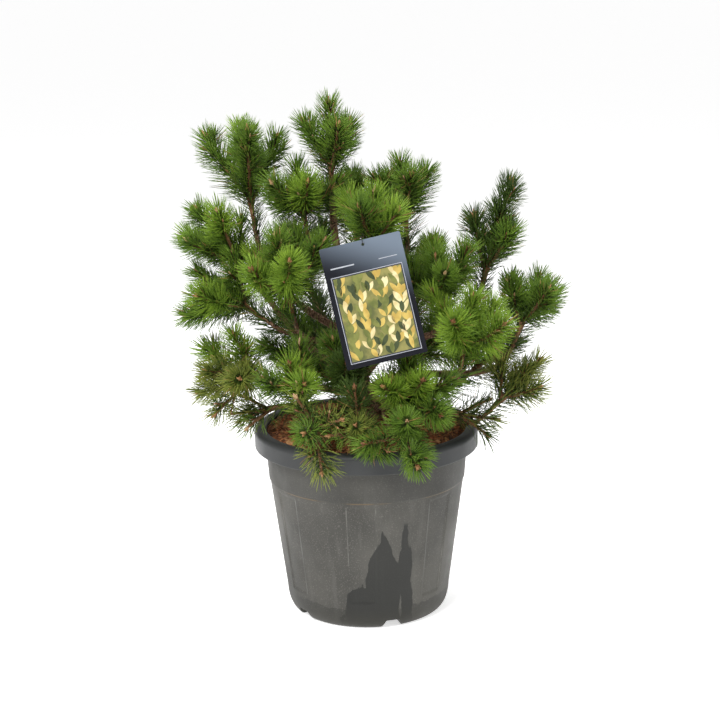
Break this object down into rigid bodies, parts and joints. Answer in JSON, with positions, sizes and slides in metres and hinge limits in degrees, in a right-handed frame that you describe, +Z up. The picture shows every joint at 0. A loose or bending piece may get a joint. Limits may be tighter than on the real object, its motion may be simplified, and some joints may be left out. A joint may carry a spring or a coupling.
{
  "type": "mugo pine in a nursery pot",
  "caption": "Bushy dwarf mountain pine with needle tufts on rising boughs, growing in a ribbed round nursery pot with a hanging label",
  "frame": {"origin": "on the ground at the centre of the pot's flat underside", "axes": "+Z up the plant, -Y toward the front where the label hangs, +X to the viewer's right"},
  "size_m": [0.7263, 0.6249, 0.9271],
  "materials": {
    "pot": "dusty dark grey",
    "soil": "loose reddish bark",
    "bark": "scaly brown bark",
    "needles": "satin green needles",
    "card": "glossy slate blue",
    "strap": "matte black"
  },
  "bodies": {
    "root": {"pot": "pot", "soil": "soil", "trunk": "bark", "bough_back_left": "bark", "bough_back_low_left": "bark", "bough_back_low_right": "bark", "bough_back_right": "bark", "bough_back_top": "bark", "bough_behind_tag": "bark", "bough_centre": "bark", "bough_centre_back": "bark", "bough_centre_left": "bark", "bough_centre_left_low": "bark", "bough_far_right_lower": "bark", "bough_far_right_upper": "bark", "bough_front_low_left": "bark", "bough_front_low_mid": "bark", "bough_front_low_right": "bark", "bough_front_right": "bark", "bough_left_bottom": "bark", "bough_left_low": "bark", "bough_left_mid": "bark", "bough_outer_left": "bark", "bough_right_bright": "bark", "bough_right_inner": "bark", "bough_right_low": "bark", "bough_right_mid": "bark", "bough_right_tall": "bark", "bough_shoulder_left": "bark", "bough_upper_left": "bark", "needles_back_left": "needles", "needles_back_low_left": "needles", "needles_back_low_right": "needles", "needles_back_right": "needles", "needles_back_top": "needles", "needles_behind_tag": "needles", "needles_centre": "needles", "needles_centre_back": "needles", "needles_centre_left": "needles", "needles_centre_left_low": "needles", "needles_far_right_lower": "needles", "needles_far_right_upper": "needles", "needles_front_low_left": "needles", "needles_front_low_mid": "needles", "needles_front_low_right": "needles", "needles_front_right": "needles", "needles_leader": "needles", "needles_left_bottom": "needles", "needles_left_low": "needles", "needles_left_mid": "needles", "needles_outer_left": "needles", "needles_right_bright": "needles", "needles_right_inner": "needles", "needles_right_low": "needles", "needles_right_mid": "needles", "needles_right_tall": "needles", "needles_shoulder_left": "needles", "needles_upper_left": "needles", "tag": "card", "tag_tie": "strap"}
  },
  "joints": []
}
